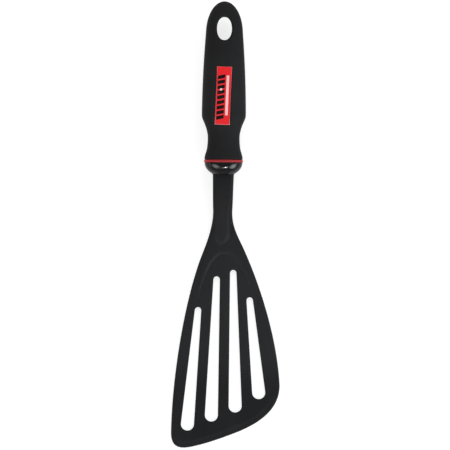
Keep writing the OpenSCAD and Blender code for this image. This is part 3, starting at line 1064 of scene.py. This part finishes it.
BADGE_L, BADGE_W, BADGE_LEAN = 40.2, 10.3, math.radians(2)
BADGE_EDGE, BADGE_R = 0.4, 0.55
BADGE_GAP, POCKET_R = 0.22, 0.75
BADGE_X = (PLATE_LO.x + PLATE_HI.x) / 2 / MM - AXIS_X
BADGE_T = (PLATE_LO.y + PLATE_HI.y) / 2 / MM - FRONT_Y
# Marks, as places and sizes on the badge.
BAR_COUNT, BAR_PITCH, BAR_T, BAR_W, BAR_SKEW, BAR_X, BAR_Y = 9, 3.5, 2.4, 5, 1.2, -1.8, -1.1
STRIPE_W, STRIPE_L, STRIPE_X, STRIPE_Y = 1.8, 27.5, 2.6, 0.2
DOT_R, DOT_GAP = 0.85, 1.5
MARK_R, MARK_EDGE = 0.12, 0.07


def on_badge(loop):
    """From the badge's own middle to the turner's [x, t]."""
    c, s = math.cos(-BADGE_LEAN), math.sin(-BADGE_LEAN)
    x, y = np.asarray(loop, float).T
    return np.stack([BADGE_X + c * x - s * y, BADGE_T + s * x + c * y], 1)


def badge_outline(w, length, r):
    """The badge's outline, or its recess's, with corners of radius r."""
    return on_badge(rounded_polygon(box(w / 2, length / 2), r, 6))


def badge_plate():
    """Red plate with a rounded edge, recessed for the printed marks."""
    outline = badge_outline(BADGE_W, BADGE_L, BADGE_R)
    low, high = FILM_HI.z / MM, PLATE_HI.z / MM
    plate = prism("badge_body", outline, low, high, BADGE_EDGE, BADGE_RED, steps=6)
    marks = [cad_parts["badge_bars"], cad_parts["badge_stripe"]]
    cut(plate, marks, sharp=0, keep_tools=True)
    return declare(plate, "badge_plate")


def mark(name, loop, material):
    """A printed mark, with its edge just rounded."""
    return prism(name, on_badge(loop), BARS_LO.z / MM, BARS_HI.z / MM, MARK_EDGE, material)


def dot_loop():
    """The dot, which lies over the row of bars."""
    a = 2 * np.pi * np.arange(32) / 32
    return np.stack([BAR_X + DOT_R * np.cos(a), BAR_Y + DOT_GAP * BAR_PITCH + DOT_R * np.sin(a)], 1)


def badge_bars():
    """Slanted black bars, notched round the dot."""
    bars = []
    for i in range(BAR_COUNT):
        y = BAR_Y + (i - (BAR_COUNT - 1) / 2) * BAR_PITCH
        corners = box(BAR_W / 2, BAR_T / 2, BAR_X, y, BAR_SKEW / 2)
        bars.append(mark("bar", rounded_polygon(corners, MARK_R, 3), BADGE_BLACK))
    low, high = BARS_LO.z / MM - 1, BARS_HI.z / MM + 1
    notch = prism("notch", on_badge(dot_loop()), low, high, 0, None)
    marks = cut(join("bar_marks", bars), [notch])
    return declare(marks, "badge_bars")


def badge_stripe():
    """Pale stripe beside the bars, and the dot."""
    corners = box(STRIPE_W / 2, STRIPE_L / 2, STRIPE_X, STRIPE_Y)
    stripe = mark("stripe", rounded_polygon(corners, MARK_R, 3), BADGE_WHITE)
    dot = mark("dot", dot_loop(), BADGE_WHITE)
    return declare(join("stripe_and_dot", [stripe, dot]), "badge_stripe")


def dress(node, material):
    """A CAD piece that keeps its shape and gets a finished material."""
    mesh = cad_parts[node].data
    mesh.materials.clear()
    mesh.materials.append(material)


# ---------------------------------------------------------------- studio

FLOOR_HALF, FLOOR_Z, FLOOR_GLOW = 4.0, -0.0004, 0.77
SKY_LOW, SKY_HIGH = 0.45, 0.25
CAMERA_HEIGHT = 2.6
VIEW_WIDTH = 312.4 * MM
VIEW_X, VIEW_Y = AXIS_X * MM + 0.00134, 0.0
ROLL = math.radians(0.41)


def floor():
    """Pale ground that gives off some light, so that it reads white."""
    m, tree, p = new_material("floor_pale")
    cloud = noise(tree, 3.0)
    tree.links.new(tint(tree, cloud, (0.37, 0.37, 0.37), (0.39, 0.39, 0.39)), p.inputs["Base Color"])
    tree.links.new(remap(tree, cloud, 0.85, 0.95), p.inputs["Roughness"])
    p.inputs["Specular IOR Level"].default_value = 0.1
    p.inputs["Emission Color"].default_value = (1, 1, 1, 1)
    p.inputs["Emission Strength"].default_value = FLOOR_GLOW
    mesh = bpy.data.meshes.new("floor")
    mesh.from_pydata([(x, y, FLOOR_Z) for x, y in box(FLOOR_HALF, FLOOR_HALF)], [], [(0, 1, 2, 3)])
    mesh.materials.append(m)
    add("floor", mesh)


def lamp(name, direction, distance, size, radiance, colour=(1, 1, 1), target=(0, 0, 0)):
    """A soft light of the given size in metres, which faces the target from a direction."""
    data = bpy.data.lights.new(name, "AREA")
    data.shape = "ELLIPSE"
    data.size, data.size_y = size
    data.color = colour
    data.energy = radiance * math.pi * math.pi / 4 * size[0] * size[1]
    obj = add(name, data)
    d = Vector(direction).normalized()
    obj.location = Vector(target) + d * distance
    obj.rotation_mode = "QUATERNION"
    obj.rotation_quaternion = d.to_track_quat("Z", "Y")
    return obj


def sky():
    """Soft grey surroundings, a little darker overhead."""
    world = bpy.data.worlds.new("studio")
    bpy.context.scene.world = world
    world.use_nodes = True
    tree = world.node_tree
    coord = tree.nodes.new("ShaderNodeTexCoord")
    split = tree.nodes.new("ShaderNodeSeparateXYZ")
    ramp = tree.nodes.new("ShaderNodeValToRGB")
    ramp.color_ramp.elements[0].position = 0.0
    ramp.color_ramp.elements[0].color = (SKY_LOW, SKY_LOW, SKY_LOW, 1)
    ramp.color_ramp.elements[1].position = 0.92
    ramp.color_ramp.elements[1].color = (SKY_HIGH, SKY_HIGH, SKY_HIGH, 1)
    tree.links.new(coord.outputs["Generated"], split.inputs["Vector"])
    tree.links.new(split.outputs["Z"], ramp.inputs["Fac"])
    tree.links.new(ramp.outputs["Color"], tree.nodes["Background"].inputs["Color"])
    tree.nodes["Background"].inputs["Strength"].default_value = 1.0


def lights():
    """Soft lamps over and beside the turner, and gloss-only ones that place the highlights."""
    grip_middle = (0, FRONT_Y * MM, 0)
    warm, cool = (1, 0.97, 0.94), (0.94, 0.97, 1)
    lamp("left_wide", (-0.3, -0.72, 0.62), 2.1, (1.3, 1.13), 1.0, warm, grip_middle)
    lamp("right_wide", (0.58, -0.62, 0.53), 2.1, (1.35, 1.24), 2.7, cool, grip_middle)
    sheens = [
        lamp("left_sheen", (-0.5, -0.55, 0.68), 2.0, (1.45, 1.15), 4.6, warm, grip_middle),
        lamp("left_centre", (-0.44, -0.55, 0.72), 1.9, (0.7, 0.55), 3.6, warm, grip_middle),
        lamp("right_sheen", (0.62, -0.52, 0.58), 2.0, (1.8, 1.35), 5.0, cool, grip_middle),
        lamp("right_centre", (0.62, -0.52, 0.58), 1.9, (1.0, 0.75), 4.4, cool, grip_middle),
        lamp("spark", (0.075, -0.7, 0.71), 1.8, (0.25, 0.17), 120, target=grip_middle),
    ]
    for sheen in sheens:
        sheen.visible_diffuse = False
    lamp("back_soft", (0.0, 0.78, 0.62), 2.2, (2.7, 1.6), 2.6)
    lamp("left_edge", (-0.95, -0.25, 0.25), 2.0, (1.8, 0.7), 1.8, warm)
    front = lamp("front_edge", (0.05, -0.97, 0.2), 2.0, (1.8, 0.6), 3.8)
    front.visible_glossy = False
    lamp("right_edge", (0.9, 0.1, 0.42), 2.0, (1.8, 0.9), 2.5, cool, grip_middle)


def camera():
    """Camera straight above, framed as the photo is."""
    data = bpy.data.cameras.new("camera")
    obj = add("camera", data)
    data.sensor_width = 36
    data.lens = data.sensor_width * (CAMERA_HEIGHT - HANDLE_Z / 2 * MM) / VIEW_WIDTH
    obj.location = (VIEW_X, VIEW_Y, CAMERA_HEIGHT)
    obj.rotation_euler = (0, 0, ROLL)
    bpy.context.scene.camera = obj


blade()
bolster()
accent_ring()
grip()
badge_plate()
badge_bars()
badge_stripe()
dress("handle_core", CORE)
dress("tang_pins", STEEL)
dress("badge_adhesive", FILM)
floor()
sky()
lights()
camera()
bpy.context.scene.view_settings.view_transform = "Standard"
